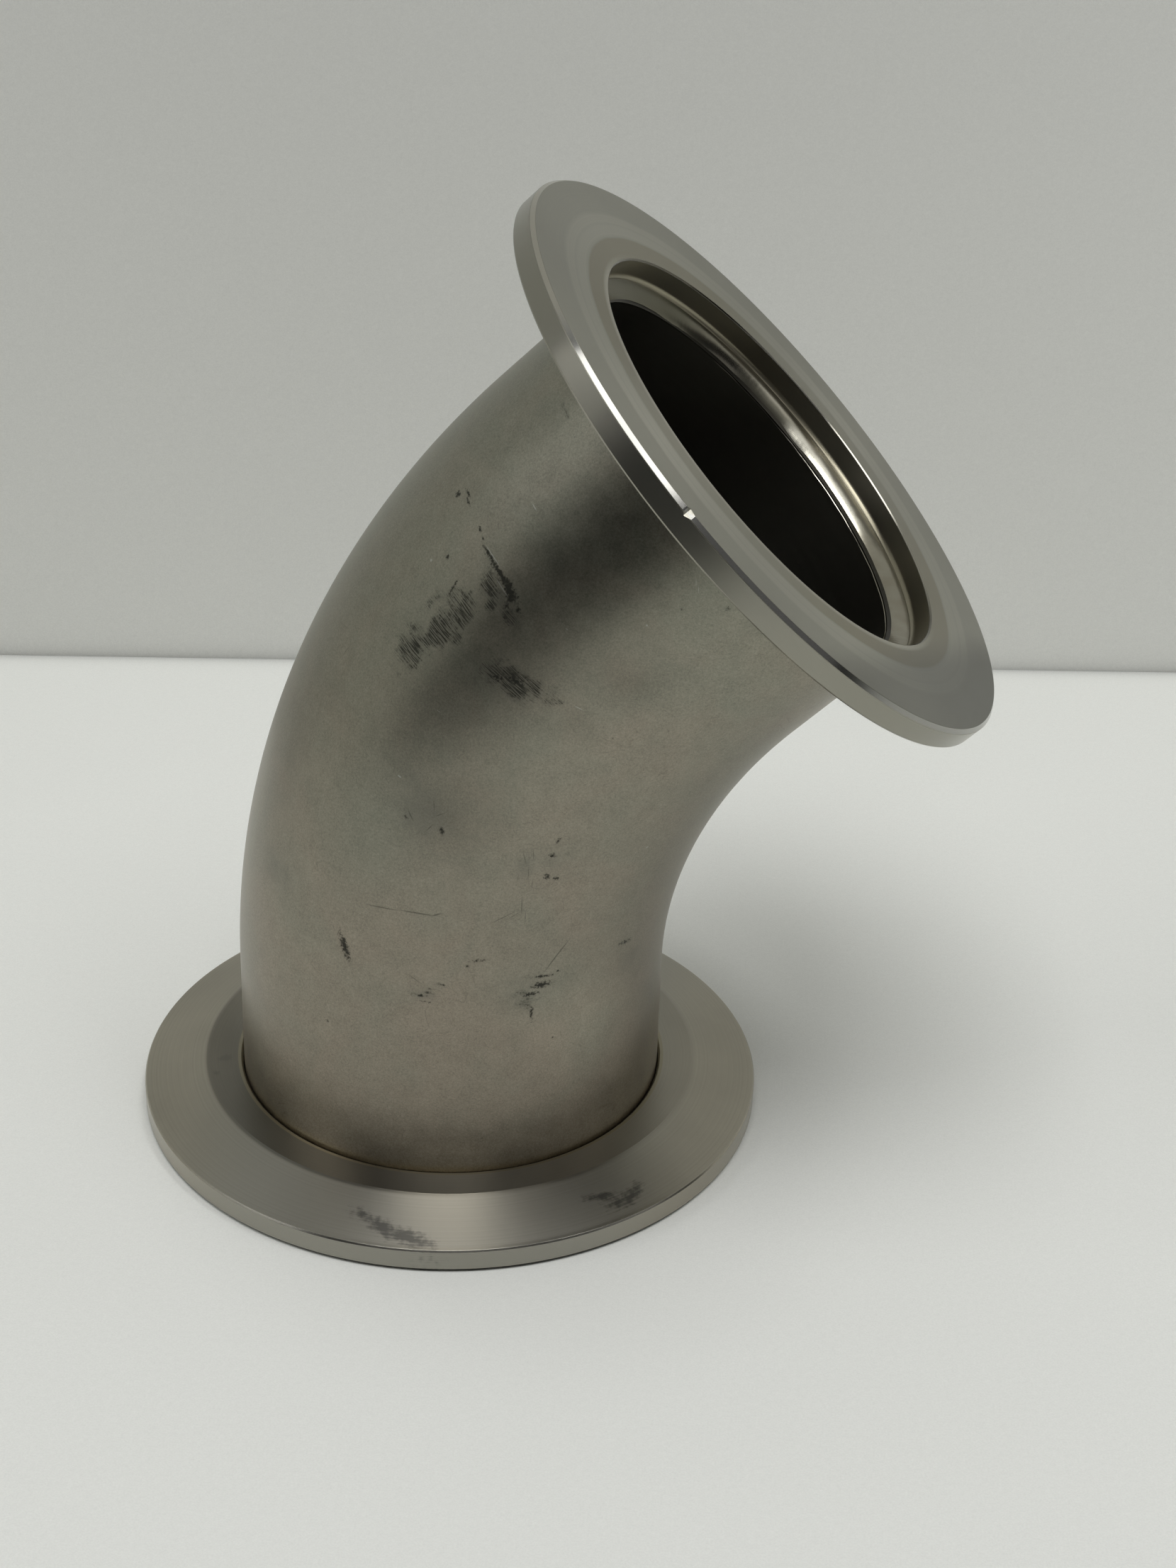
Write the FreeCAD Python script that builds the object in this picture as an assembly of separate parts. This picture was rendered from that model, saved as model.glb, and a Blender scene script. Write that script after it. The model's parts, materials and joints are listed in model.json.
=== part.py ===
import FreeCAD, Part
import math
import os

# Forty-five degree vacuum elbow: a bent tube with a turned clamp flange welded to each end.
# Millimetres, +Z up. The lower flange's sealing face lies on Z = 0 around the origin, and the
# elbow bends in the XZ plane, towards +X.

# Bent tube
TUBE_DIAMETER = 50.8
TUBE_WALL = 1.65
BEND_RADIUS = 76.2
BEND_ANGLE = 45.0
LOWER_LEG = 19.5
UPPER_LEG = 17.9

# Clamp flange, the same turning at both ends
FLANGE_DIAMETER = 75.0
FLANGE_THICKNESS = 5.0
RIM_WIDTH = 2.9
CLAMP_SLOPE = 15.0
FACE_CHAMFER = 0.45
REAR_CHAMFER = 0.15

# Recess in the face for the centring ring of the joint
RECESS_DIAMETER = 52.2
RECESS_DEPTH = 2.8
RECESS_CHAMFER = 0.15

# Socket that the tube stands in, and the relief at its back edge
SOCKET_GAP = 0.12
SOCKET_CHAMFER = 0.25

# Weld bead on the bevel that the recess floor and the tube's end share
LEDGE_WIDTH = 0.3
BEVEL_DEPTH = 1.5
BEAD_RISE = 0.5

# Knock on the upper flange's outer chamfer, left by a round tool
NICK_TURN = 285.7
NICK_BALL_RADIUS = 0.85
NICK_DEPTH = 0.25

tube_r = TUBE_DIAMETER / 2
bore_r = tube_r - TUBE_WALL
flange_r = FLANGE_DIAMETER / 2
recess_r = RECESS_DIAMETER / 2
socket_r = tube_r + SOCKET_GAP

# The bevel runs from the ledge on the recess floor to the tube's bore.
bevel_top_r = recess_r - LEDGE_WIDTH
bevel_run = bevel_top_r - bore_r

bend = math.radians(BEND_ANGLE)
origin = FreeCAD.Vector(0, 0, 0)
up = FreeCAD.Vector(0, 0, 1)
across = FreeCAD.Vector(0, 1, 0)
bend_centre = FreeCAD.Vector(BEND_RADIUS, 0, LOWER_LEG)
out_of_top = FreeCAD.Vector(math.sin(bend), 0, math.cos(bend))
bend_end = bend_centre + FreeCAD.Vector(-math.cos(bend), 0, math.sin(bend)) * BEND_RADIUS
top_centre = bend_end + out_of_top * UPPER_LEG


def bevel_height(radius):
    """Distance of the bevel from the sealing face, at a radius."""
    return RECESS_DEPTH + BEVEL_DEPTH * (bevel_top_r - radius) / bevel_run


def turned(points):
    """Solid of revolution about Z from a closed outline of (radius, height) corners."""
    corners = [FreeCAD.Vector(radius, 0, height) for radius, height in points]
    outline = Part.makePolygon(corners + corners[:1])
    return Part.Face(outline).revolve(origin, up, 360)


def at_top(shape):
    """The shape moved from the lower end to the upper end, face outwards."""
    moved = shape.copy()
    moved.rotate(origin, across, 180 + BEND_ANGLE)
    moved.translate(top_centre)
    return moved


def make_flange():
    """Clamp flange: face, rim, sloped back for the clamp, socket and recess."""
    slope = math.tan(math.radians(CLAMP_SLOPE))
    cone_base_r = flange_r - REAR_CHAMFER
    rear_z = RIM_WIDTH + REAR_CHAMFER * slope
    land_r = cone_base_r - (FLANGE_THICKNESS - rear_z) / slope
    return turned([
        (recess_r + RECESS_CHAMFER, 0),
        (flange_r - FACE_CHAMFER, 0),
        (flange_r, FACE_CHAMFER),
        (flange_r, RIM_WIDTH - REAR_CHAMFER),
        (cone_base_r, rear_z),
        (land_r, FLANGE_THICKNESS),
        (socket_r + SOCKET_CHAMFER, FLANGE_THICKNESS),
        (socket_r, FLANGE_THICKNESS - SOCKET_CHAMFER),
        (socket_r, bevel_height(socket_r)),
        (bevel_top_r, RECESS_DEPTH),
        (recess_r, RECESS_DEPTH),
        (recess_r, RECESS_CHAMFER),
    ])


def make_nick():
    """Ball that leaves the knock: its centre stands off the middle of the face chamfer."""
    stand_off = (NICK_BALL_RADIUS - NICK_DEPTH) / math.sqrt(2)
    radius = flange_r - FACE_CHAMFER / 2 + stand_off
    height = FACE_CHAMFER / 2 - stand_off
    ball = Part.makeSphere(NICK_BALL_RADIUS, FreeCAD.Vector(radius, 0, height))
    ball.rotate(origin, up, NICK_TURN)
    return ball


def make_leg(length):
    """Straight end of the tube, from its bevelled edge to the start of the bend."""
    return turned([
        (tube_r, bevel_height(tube_r)),
        (tube_r, length),
        (bore_r, length),
        (bore_r, bevel_height(bore_r)),
    ])


def make_tube():
    """Bent tube: two straight legs and the bend between them."""
    rings = [Part.Wire(Part.makeCircle(radius, FreeCAD.Vector(0, 0, LOWER_LEG), up))
             for radius in (tube_r, bore_r)]
    bent = Part.Face(rings).revolve(bend_centre, across, BEND_ANGLE)
    return make_leg(LOWER_LEG).fuse([bent, at_top(make_leg(UPPER_LEG))])


def make_bead():
    """Weld bead: a low crown on the bevel, turned about the bore's axis."""
    toe = FreeCAD.Vector(bevel_top_r, 0, RECESS_DEPTH)
    root = FreeCAD.Vector(bore_r, 0, bevel_height(bore_r))
    outwards = FreeCAD.Vector(-BEVEL_DEPTH, 0, -bevel_run).normalize()
    crown = (toe + root) / 2 + outwards * BEAD_RISE
    outline = Part.Wire([Part.Arc(toe, crown, root).toShape(), Part.makeLine(root, toe)])
    return Part.Face(outline).revolve(origin, up, 360)


nodes = {
    "elbow_tube": make_tube(),
    "lower_flange": make_flange(),
    "upper_flange": at_top(make_flange().cut(make_nick())),
    "lower_weld_bead": make_bead(),
    "upper_weld_bead": at_top(make_bead()),
}

os.makedirs("parts", exist_ok=True)
for name, shape in nodes.items():
    shape.exportStep("parts/" + name + ".step")
    print(name, "valid", shape.isValid(), "solids", len(shape.Solids), "volume", round(shape.Volume, 2))
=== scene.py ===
# %% [markdown]
# # A forty-five degree vacuum elbow
# The object is a short bend of stainless steel tube with a turned flange welded to each end. Two such
# flanges are drawn together by a clamp, with a centring ring in the recess between them. This script
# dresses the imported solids: it builds finer meshes for the tube, the flanges and the weld beads in
# the same places, gives each a finish made of nodes, and sets up a floor, walls, lamps and a camera.

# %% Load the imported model
import json
import math

import bpy
from mathutils import Matrix, Vector


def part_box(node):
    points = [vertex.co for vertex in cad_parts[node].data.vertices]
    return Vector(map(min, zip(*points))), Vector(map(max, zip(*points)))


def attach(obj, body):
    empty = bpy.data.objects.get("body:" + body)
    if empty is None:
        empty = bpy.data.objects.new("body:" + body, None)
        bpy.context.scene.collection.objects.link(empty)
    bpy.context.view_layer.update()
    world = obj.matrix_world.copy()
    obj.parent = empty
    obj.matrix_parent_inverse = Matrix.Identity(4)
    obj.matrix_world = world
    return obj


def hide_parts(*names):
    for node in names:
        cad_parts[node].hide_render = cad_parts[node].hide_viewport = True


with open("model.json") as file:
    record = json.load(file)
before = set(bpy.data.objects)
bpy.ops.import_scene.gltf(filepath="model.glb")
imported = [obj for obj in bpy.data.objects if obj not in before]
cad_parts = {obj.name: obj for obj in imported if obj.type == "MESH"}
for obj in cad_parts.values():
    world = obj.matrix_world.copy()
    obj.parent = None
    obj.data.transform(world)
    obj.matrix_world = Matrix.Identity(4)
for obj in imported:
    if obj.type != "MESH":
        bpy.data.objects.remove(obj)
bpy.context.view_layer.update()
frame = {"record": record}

# %% [markdown]
# ## Sizes
# What the frame knows is read from it: the record's mounts give the rim, the recess, and the place and
# direction of the upper mouth. The two straight legs follow from the bend, because a path of a leg, an
# arc and another leg has to end at that mouth. The few sizes that the frame doesn't state are the same
# real sizes as in the solids, here in metres.

# %% Sizes from the frame
MM = 0.001
mounts = {mount["name"]: mount for mount in frame["record"]["mounts"]}
rim_r = mounts["lower_clamp_rim"]["dims"]["r_mm"] * MM
recess_r = mounts["lower_recess"]["dims"]["r_mm"] * MM
mouth = Vector(mounts["upper_recess"]["pos_m"])
mouth_axis = Vector(mounts["upper_recess"]["axis"])
flange_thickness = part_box("lower_flange")[1].z

tube_r = 25.4 * MM
bore_r = 23.75 * MM
bend_radius = 76.2 * MM
bend_angle = math.acos(mouth_axis.z)
upper_leg = (mouth.x - bend_radius * (1 - math.cos(bend_angle))) / math.sin(bend_angle)
lower_leg = mouth.z - bend_radius * math.sin(bend_angle) - upper_leg * math.cos(bend_angle)
path_length = lower_leg + bend_radius * bend_angle + upper_leg

# A piece made at the lower end is carried to the upper one by this turn and shift.
at_mouth = Matrix.Translation(mouth) @ Matrix.Rotation(math.pi + bend_angle, 4, "Y")
print("legs", round(lower_leg / MM, 2), "and", round(upper_leg / MM, 2), "mm")
print("path", round(path_length / MM, 2), "mm")

# %% [markdown]
# ## Writing nodes as sums
# Shader trees and geometry trees are both made of nodes joined by wires. A tree of forty Math nodes is
# hard to read, so one small class wraps a socket and lets an ordinary expression add the nodes. The
# other class adds any other node: its settings come first, because some of them change its sockets.

# %% Helpers for node trees
class Wire:
    """An output socket. Sums and products of wires and numbers add Math nodes."""

    def __init__(self, graph, socket):
        self.graph = graph
        self.socket = socket

    def maths(self, operation, *others):
        return self.graph.maths(operation, self, *others)

    def __add__(self, other):
        return self.maths("ADD", other)

    def __sub__(self, other):
        return self.maths("SUBTRACT", other)

    def __rsub__(self, other):
        return self.graph.maths("SUBTRACT", other, self)

    def __mul__(self, other):
        return self.maths("MULTIPLY", other)

    def __truediv__(self, other):
        return self.maths("DIVIDE", other)

    def __pow__(self, other):
        return self.maths("POWER", other)

    __radd__ = __add__
    __rmul__ = __mul__

    def least(self, other):
        return self.maths("MINIMUM", other)

    def most(self, other):
        return self.maths("MAXIMUM", other)

    def clamped(self):
        return self.most(0.0).least(1.0)

    def rise(self, low, high):
        """0 below low, 1 above high, and a smooth step between; low may be the larger one."""
        settings = {"interpolation_type": "SMOOTHSTEP"}
        sockets = {"Value": self, "From Min": low, "From Max": high}
        return self.graph.node("ShaderNodeMapRange", settings, sockets)


class Graph:
    """Adds nodes to one tree."""

    def __init__(self, tree):
        self.tree = tree

    def node(self, kind, settings=None, sockets=None, output=0):
        """A node of a type, with its settings, then the value or the wire of each socket."""
        made = self.tree.nodes.new(kind)
        for name, value in (settings or {}).items():
            setattr(made, name, value)
        for key, value in (sockets or {}).items():
            socket = self.find(made.inputs, key)
            if isinstance(value, Wire):
                self.tree.links.new(value.socket, socket)
            else:
                socket.default_value = value
        return Wire(self, self.find(made.outputs, output)) if made.outputs else made

    def find(self, sockets, key):
        """The enabled socket with that name, or with that place among the enabled ones."""
        shown = [socket for socket in sockets if socket.enabled]
        return shown[key] if isinstance(key, int) else next(s for s in shown if s.name == key)

    def maths(self, operation, *values):
        return self.node("ShaderNodeMath", {"operation": operation}, dict(enumerate(values)))

    def vector(self, operation, *values, output=0):
        return self.node("ShaderNodeVectorMath", {"operation": operation}, dict(enumerate(values)), output)

    def combine(self, x, y, z):
        return self.node("ShaderNodeCombineXYZ", None, {"X": x, "Y": y, "Z": z})

    def part(self, vector, axis):
        return self.node("ShaderNodeSeparateXYZ", None, {0: vector}, axis)

    def mix(self, share, first, second):
        """A colour between two colours."""
        sockets = {"Factor": share, "A": first, "B": second}
        return self.node("ShaderNodeMix", {"data_type": "RGBA"}, sockets)

    def scaled(self, color, factor):
        """A colour, brighter or darker by a factor."""
        return self.vector("SCALE", color, factor)

    def noise(self, place, scale, detail=2.0, **more):
        settings = {"noise_dimensions": "4D" if "W" in more else "3D"}
        sockets = {"Vector": place, "Scale": scale, "Detail": detail, **more}
        return self.node("ShaderNodeTexNoise", settings, sockets, 0)


# %% [markdown]
# ## Geometry Nodes trees
# Each tree gets named inputs for its sizes, ends in Realize Instances, and is turned into a plain mesh
# at once. A modifier's inputs are known to Blender by identifier, so the values are given by name here
# and looked up. The modifier goes with the helper object that carried it. Both trees of this script
# start from a flat grid of which one side is laid across a wall and the other around it.

# %% Helpers for geometry trees
def geometry_graph(name, inputs):
    """A new geometry tree with number inputs, as a graph and a dictionary of wires by input name."""
    tree = bpy.data.node_groups.new(name, "GeometryNodeTree")
    for label, value in inputs.items():
        kind = "NodeSocketInt" if isinstance(value, int) else "NodeSocketFloat"
        tree.interface.new_socket(label, in_out="INPUT", socket_type=kind)
    tree.interface.new_socket("Geometry", in_out="OUTPUT", socket_type="NodeSocketGeometry")
    graph = Graph(tree)
    source = tree.nodes.new("NodeGroupInput")
    return graph, {label: Wire(graph, graph.find(source.outputs, label)) for label in inputs}


def unit_grid(graph, rows, columns):
    """A flat grid, with each point's share of the way across it, and its turn around in radians."""
    counts = {"Size X": 1.0, "Size Y": 1.0, "Vertices X": rows, "Vertices Y": columns}
    grid = graph.node("GeometryNodeMeshGrid", None, counts)
    at = graph.node("GeometryNodeInputPosition")
    return grid, graph.part(at, "X") + 0.5, (graph.part(at, "Y") + 0.5) * math.tau


def laid(graph, geometry, place, finish):
    """The geometry with its points moved to a place and its faces given a finish."""
    moved = graph.node("GeometryNodeSetPosition", None, {"Geometry": geometry, "Position": place})
    return graph.node("GeometryNodeSetMaterial", None, {"Geometry": moved, "Material": finish})


def joined(graph, strips, closer_than):
    """The strips as one geometry, with points that lie closer together than a distance merged."""
    walls = graph.tree.nodes.new("GeometryNodeJoinGeometry")
    for strip in strips:
        graph.tree.links.new(strip.socket, walls.inputs[0])
    whole = Wire(graph, walls.outputs[0])
    return graph.node("GeometryNodeMergeByDistance", None, {0: whole, "Distance": closer_than})


def grown(name, graph, geometry, inputs, smooth_below=30.0):
    """The tree's result as an object with a plain mesh, its sharp edges marked by angle."""
    real = graph.node("GeometryNodeRealizeInstances", None, {0: geometry})
    graph.node("NodeGroupOutput", None, {0: real})
    carrier = bpy.data.objects.new(name + "_carrier", bpy.data.meshes.new(name + "_empty"))
    bpy.context.scene.collection.objects.link(carrier)
    modifier = carrier.modifiers.new("grow", "NODES")
    modifier.node_group = graph.tree
    for item in graph.tree.interface.items_tree:
        if item.in_out == "INPUT":
            modifier[item.identifier] = inputs[item.name]
    evaluated = carrier.evaluated_get(bpy.context.evaluated_depsgraph_get())
    mesh = bpy.data.meshes.new_from_object(evaluated)
    bpy.data.objects.remove(carrier)
    mesh.name = name
    return shown(name, mesh, smooth_below)


def shown(name, mesh, smooth_below=30.0):
    """An object for a finished mesh, smooth apart from edges sharper than an angle in degrees."""
    mesh.shade_smooth()
    mesh.set_sharp_from_angle(angle=math.radians(smooth_below))
    piece = bpy.data.objects.new(name, mesh)
    bpy.context.scene.collection.objects.link(piece)
    print(name, len(mesh.polygons), "faces")
    return piece


# %% [markdown]
# ## Materials
# Every material starts from an empty tree. All of the elbow is bare steel, so its finishes end in one
# Principled shader that is all metal, and differ in their colour, roughness and relief.

# %% Helpers for materials
def material_graph(name):
    """A material's graph, with the material itself."""
    material = bpy.data.materials.new(name)
    material.use_nodes = True
    material.node_tree.nodes.clear()
    return Graph(material.node_tree), material


def finish_metal(graph, color, roughness, height, bump, bump_distance=0.02 * MM, **fixed):
    """The Principled shader for a metal, with a bump from a height wire."""
    relief = {"Strength": bump, "Distance": bump_distance, "Height": height}
    normal = graph.node("ShaderNodeBump", None, relief)
    sockets = {"Base Color": color, "Roughness": roughness, "Normal": normal, "Metallic": 1.0, **fixed}
    surface = graph.node("ShaderNodeBsdfPrincipled", None, sockets)
    graph.node("ShaderNodeOutputMaterial", None, {"Surface": surface})


# %% [markdown]
# ## Rub marks
# The tube has been handled and knocked about. It carries dark rubs from rubber and tools, fine hatching
# where something serrated slid over it, smears, specks, scratches and small bright nicks. Under them lie
# broad patches that are cooler or paler than the rest, and ellipses of painted shade that darken the
# streak which the bend reflects and a few other places. They could be painted into an image, but an
# ellipse stays sharp at any size and a row of numbers is easy to move. So each mark is an ellipse on the
# unrolled tube: a Mapping node turns it into a ball, and a Gradient texture tells how far inside a point
# lies. Noise is added before the edge is cut, so that a mark looks rubbed on and not printed.

# %% Helpers for marks
uv_name = "unrolled"


def reach_of(graph, place, ellipses):
    """1 in the middle of the ellipses, 0 at their rims and below 0 outside, less for weaker ones."""
    nearest = None
    for x, y, half_x, half_y, slant, strength in ellipses:
        sockets = {
            "Vector": place,
            "Location": (x, y, 0),
            "Rotation": (0, 0, slant),
            "Scale": (2 * half_x, 2 * half_y, 1),
        }
        inside = {"Vector": graph.node("ShaderNodeMapping", {"vector_type": "TEXTURE"}, sockets)}
        fall = graph.node("ShaderNodeTexGradient", {"gradient_type": "SPHERICAL"}, inside, "Fac")
        reach = fall * 2.0 + (strength - 2.0)
        nearest = reach if nearest is None else nearest.most(reach)
    return nearest


def on_tube(marks):
    """Ellipses on the unrolled tube, in metres."""
    for turn, along, half_around, half_along, slant, strength in marks:
        around = math.radians(turn % 360) * tube_r
        yield around, along * MM, half_around * MM, half_along * MM, math.radians(slant), strength


def on_flange(marks):
    """Ellipses on a flange, in millimetres, with half widths along and across the radius."""
    for turn, radius, half_along, half_across, slant, strength in marks:
        angle = math.radians(turn)
        x, y = radius * math.cos(angle), radius * math.sin(angle)
        yield x, y, half_along, half_across, angle + math.radians(slant), strength


def rubbed_on(graph, unrolled, marks, low, high, ragged=0.0):
    """0 to 1 for marks on the tube, cut off between two reaches after their edges are made ragged."""
    return (reach_of(graph, unrolled, on_tube(marks)) + ragged).rise(low, high)


def stretched(graph, vector, around, along):
    """The unrolled place with its two directions scaled, so that noise on it becomes hatching."""
    return graph.node("ShaderNodeMapping", None, {"Vector": vector, "Scale": (around, along, 1)})


# %% [markdown]
# The places were read off the photograph. Each row gives degrees around the tube, millimetres
# along it, the half widths around and along in millimetres, a slant in degrees and a strength.

# %% Marks on the tube
# Fine hatching.
hatched_marks = [
    (-128.0, 65.3, 5.6, 2.2, 73, 0.6), (-124.8, 68.6, 2.2, 1.7, 0, 1.2),
    (-125.6, 66.0, 2.4, 1.8, 10, 1.2), (-129.5, 62.4, 2.4, 2.6, 0, 1.1),
    (-127.5, 64.4, 1.7, 1.5, 0, 0.95), (-133.5, 66.8, 2.0, 2.4, 0, 0.55),
    (-103.4, 67.8, 4.6, 1.5, 20, 1.2), (-123.8, 72.4, 2.0, 1.2, 0, 1.05),
    (-120.6, 71.6, 1.5, 1.0, 0, 0.9), (-117.0, 71.9, 1.7, 1.1, 0, 1.0), (-147.0, 87.9, 2.2, 0.5, 0, 0.6),
    (-64.0, 29.5, 2.6, 3.4, 10, 0.6), (-88.0, 30.0, 3.4, 1.6, 0, 0.5), (-110.0, 68.6, 3.0, 2.0, 0, 0.45),
]
# Dark rubs and specks.
rubbed_marks = [
    (-129.3, 74.02, 2.2, 0.19, 0, 1.1), (-124.0, 73.86, 3.0, 0.34, -2, 1.2),
    (-119.8, 73.65, 1.7, 0.52, -8, 1.3), (-118.2, 73.2, 0.7, 0.55, 0, 1.1),
    (-117.7, 72.4, 0.5, 0.42, 0, 1.1), (-115.0, 73.1, 0.36, 0.38, 0, 1.2),
    (-149.6, 74.1, 0.42, 0.32, 0, 1.2), (-147.4, 75.0, 0.9, 0.2, 0, 1.0),
    (-145.2, 74.7, 0.9, 0.2, 0, 0.85), (-136.6, 74.5, 0.5, 0.22, 0, 1.0),
    (-134.2, 74.3, 0.5, 0.2, 0, 0.8), (-130.8, 69.4, 1.0, 0.2, 107, 1.1),
    (-138.0, 70.5, 0.34, 0.3, 0, 1.0), (-104.0, 67.9, 1.3, 0.5, 18, 1.1),
    (-107.5, 66.9, 1.2, 0.6, 10, 0.85), (-71.0, 51.7, 0.5, 0.42, 0, 1.0), (-71.7, 53.8, 0.3, 0.9, 0, 0.8),
    (-69.6, 48.5, 0.6, 0.5, -50, 1.0), (-67.1, 48.5, 0.6, 0.4, 20, 0.95),
    (-98.5, 49.3, 0.5, 0.3, -50, 1.1), (-107.9, 48.7, 0.35, 0.3, 0, 0.8),
    (-113.0, 31.8, 1.7, 0.5, -56, 1.2), (-60.6, 32.9, 1.7, 0.28, 5, 1.0),
    (-60.9, 31.5, 1.4, 0.60, 12, 1.1), (-63.2, 30.1, 1.4, 0.45, 10, 0.95),
    (-62.3, 27.0, 0.36, 1.7, 6, 0.9), (-35.7, 35.9, 1.8, 0.8, 0, 0.75), (-91.5, 28.9, 1.5, 0.32, 0, 0.75),
    (-90.0, 28.2, 1.1, 0.25, 0, 0.7), (-86.9, 30.8, 1.2, 0.32, 0, 0.75),
    (-81.1, 33.9, 0.32, 0.28, 0, 1.0), (-78.6, 34.9, 1.6, 0.45, 20, 0.7),
    (-115.9, 22.5, 0.32, 0.3, 0, 0.7), (-55.4, 22.2, 0.32, 0.3, 0, 0.8), (-74.0, 9.5, 0.3, 0.25, 0, 0.6),
    (-90.2, 85.9, 0.34, 0.24, 0, 0.8), (-83.1, 89.4, 0.6, 0.6, 0, 0.6), (-77.0, 69.4, 0.28, 0.25, 0, 0.7),
    (-57.0, 33.5, 0.4, 0.3, 0, 0.7),
]
# Broad cooler patches, ellipses of painted shade, and paler patches.
cool_marks = [
    (-114, 46.0, 6.0, 7.0, 0, 1.0), (-60, 31.0, 8.0, 6.0, 0, 1.0), (-42, 21.0, 5.0, 7.0, 0, 1.0),
]
# Painted shade: these darken the reflected dark streak down the bend and a few other places.
painted_shade_marks = [
    (-108, 63.5, 9.0, 4.2, 59, 0.9), (-84, 76.0, 6.0, 4.0, 50, 0.5), (-148, 42.0, 7.0, 13.0, 0, 0.1),
    (-97.5, 51.0, 6.0, 5.0, 45, 0.65), (-87, 69.0, 4.5, 4.0, 50, 0.1), (-21, 11.0, 3.0, 5.0, 0, 0.8),
]
pale_marks = [(-46, 25.0, 7.0, 5.5, 0, 0.8), (-107, 9.0, 6.0, 2.5, 0, 0.5)]
# Greasy smears.
soft_marks = [
    (-104.5, 50.2, 4.2, 3.6, 0, 1.15), (-76.5, 49.0, 2.2, 3.4, 0, 0.9), (-90.5, 29.0, 3.2, 1.6, 0, 0.8),
    (-141, 34.5, 5.0, 3.2, 0, 0.9), (-32, 31.5, 3.0, 3.6, 0, 1.0), (-104, 67.5, 6.5, 4.0, 20, 0.8),
    (-64, 30.5, 6.0, 6.0, 0, 0.75), (-127, 65.5, 6.5, 3.6, 73, 0.8), (-84, 89.2, 3.0, 2.4, 0, 0.5),
    (-112, 52.0, 8.0, 6.0, 0, 0.5), (-70, 50.5, 4.0, 5.0, 0, 0.6), (-120, 72.2, 4.6, 2.0, 0, 0.85),
]
# Scratches.
scratch_marks = [
    (-105.5, 38.0, 2.6, 0.10, 14, 1.0), (-96.6, 39.0, 2.4, 0.11, 12, 1.15),
    (-92.0, 39.6, 0.8, 0.12, 35, 1.1), (-58.6, 36.2, 3.4, 0.12, 69, 1.15),
    (-93.6, 30.9, 2.0, 0.10, -27, 0.8), (-117.0, 33.2, 0.9, 0.09, -50, 0.7),
    (-75.6, 51.0, 1.5, 0.10, 114, 0.75), (-72.4, 46.9, 1.5, 0.10, 104, 0.7),
    (-72.6, 43.6, 3.0, 0.12, 106, 0.75), (-70.6, 42.0, 2.2, 0.10, 101, 0.7),
    (-76.2, 41.4, 3.0, 0.12, 47, 0.8), (-73.8, 41.9, 1.9, 0.10, 53, 0.7),
    (-77.2, 50.2, 1.7, 0.12, 124, 0.75), (-74.6, 48.4, 2.0, 0.12, 108, 0.75),
    (-76.5, 47.3, 1.4, 0.10, 98, 0.65), (-107.0, 49.1, 1.3, 0.15, -35, 0.8),
    (-101.5, 49.0, 1.3, 0.12, 70, 0.75), (-146.6, 56.8, 1.5, 0.10, 80, 0.7),
    (-103.0, 51.5, 1.2, 0.09, -60, 0.8), (-100.5, 51.0, 1.1, 0.09, 50, 0.8),
]
# Nicks that show bare metal.
bright_marks = [
    (-141.0, 69.0, 0.2, 0.15, 0, 1.1), (-131.0, 80.0, 0.7, 0.09, 0, 1.0),
    (-113.9, 52.0, 0.3, 0.11, 0, 1.1), (-92.5, 82.0, 0.14, 0.14, 0, 1.0),
    (-45.5, 55.1, 0.6, 0.4, 60, 0.6), (-128.8, 74.24, 1.8, 0.06, 0, 1.1),
    (-121.5, 73.2, 1.5, 0.07, -4, 1.0), (-93.0, 89.0, 0.8, 0.06, -42, 0.8),
    (-91.4, 88.7, 0.8, 0.06, -42, 0.8), (-88.5, 70.1, 0.9, 0.07, 12, 0.9),
    (-103.9, 75.5, 0.3, 0.08, 12, 0.8), (-113.9, 60.1, 0.7, 0.07, 8, 0.7),
]
dark_kinds = (hatched_marks, rubbed_marks, soft_marks, scratch_marks)
print("dark marks", sum(len(marks) for marks in dark_kinds), "bright marks", len(bright_marks))

# %% [markdown]
# ## Bead blasted steel
# Glass beads shot at the tube leave a dull grey satin with a grain finer than sand. It is a cool greenish
# grey at the top and turns warmer towards the foot. One noise alone would look like plastic, so there is
# one for each size, from the grain to stains as long as a finger. Painted shade darkens parts of the bend,
# and painted light brightens the tube just above its foot. The marks come last: first the greasy smears,
# then whatever is dark, then the nicks that show bare metal.

# %% Blasted finish
blast_cool = (0.262, 0.261, 0.211, 1)
blast_warm = (0.284, 0.252, 0.203, 1)
grease = (0.115, 0.118, 0.108, 1)
rubber_black = (0.03, 0.03, 0.026, 1)
bare_metal = (0.5, 0.5, 0.46, 1)


def blasted_noises(graph, place):
    """Noise of every size, from the grain to broad stains, each around 0."""
    return {
        "speckle": graph.noise(place, 6500.0, 1.0) - 0.5,
        "grain": graph.noise(place, 3600.0, 2.0) - 0.5,
        "patches": graph.noise(place, 650.0, 3.0) - 0.5,
        "mottle": graph.noise(place, 420.0, 6.0, Roughness=0.65) - 0.5,
        "blotch": graph.noise(place, 120.0, 4.0, Distortion=1.0) - 0.5,
        "stain": graph.noise(place, 38.0, 3.0, Distortion=0.6) - 0.5,
    }


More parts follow.
